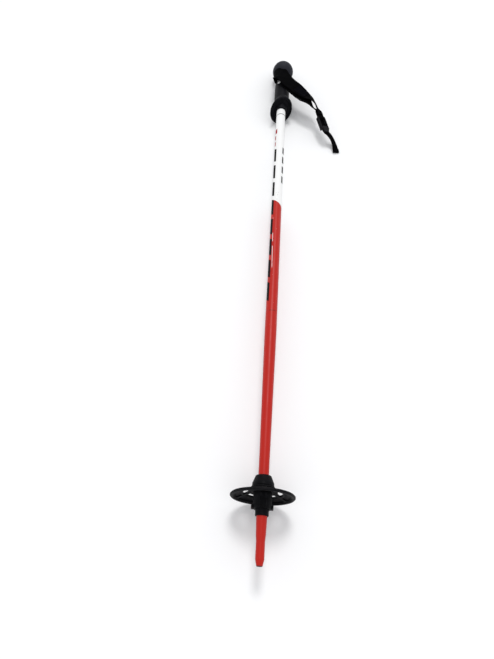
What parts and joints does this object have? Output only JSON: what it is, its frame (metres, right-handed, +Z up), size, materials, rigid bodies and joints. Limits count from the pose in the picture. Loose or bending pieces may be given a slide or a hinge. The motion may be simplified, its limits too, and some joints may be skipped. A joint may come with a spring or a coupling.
{
  "type": "ski pole",
  "caption": "Short alpine ski pole lying on its basket and ball head: tapered painted tube, spinning snow basket, flanged ball-head grip, and a webbing wrist strap with a ladder buckle.",
  "frame": {"origin": "centre of the bounding box's footprint, on the floor that the pole lies on", "axes": "+Z up from the floor, +Y along the pole from its tip towards its grip, +X to the side that the strap falls to"},
  "size_m": [0.128, 0.7998, 0.0646],
  "materials": {
    "shaft_paint": "gloss red paint with a white upper half, on an aluminium tube",
    "tip_steel": "dull hardened steel",
    "grip_plastic": "semi-gloss black moulded plastic",
    "cap_plastic": "satin black plastic",
    "plug_plastic": "plain grey plastic",
    "badge_plastic": "gloss white plastic",
    "bar_steel": "plated steel",
    "ferrule_plastic": "satin black plastic",
    "basket_plastic": "satin black plastic, greyer on the rim",
    "band_webbing": "woven black webbing",
    "patch_vinyl": "smooth black coated patch",
    "buckle_plastic": "gloss black plastic"
  },
  "bodies": {
    "pole": {"shaft_tube": "shaft_paint", "tip_insert": "tip_steel", "shaft_plug": "plug_plastic", "grip_body": "grip_plastic", "grip_cap": "cap_plastic", "size_badge": "badge_plastic", "strap_bar": "bar_steel", "retaining_ring": "ferrule_plastic", "ferrule_sleeve": "ferrule_plastic", "cone_collar": "ferrule_plastic"},
    "basket": {"basket_hub": "basket_plastic", "basket_disc": "basket_plastic"},
    "strap": {"wrist_band": "band_webbing", "band_patch": "patch_vinyl", "ladder_buckle": "buckle_plastic", "buckle_webbing": "band_webbing"},
    "tail": {"tail_webbing": "band_webbing"}
  },
  "joints": [
    {"name": "basket_spin", "type": "hinge", "parent": "pole", "child": "basket", "pos_m": [-0.03171, -0.3374, 0.0323], "axis": [0, 0.9998, -0.0207], "continuous": true},
    {"name": "strap_swing", "type": "hinge", "parent": "pole", "child": "strap", "pos_m": [-0.03921, 0.35645, 0.01794], "axis": [0, -0.9998, 0.0207], "range_deg": [0, 140]},
    {"name": "tail_slide", "type": "slide", "parent": "strap", "child": "tail", "axis": [0.2932, -0.9472, -0.1295], "range_m": [0, 0.01]}
  ]
}
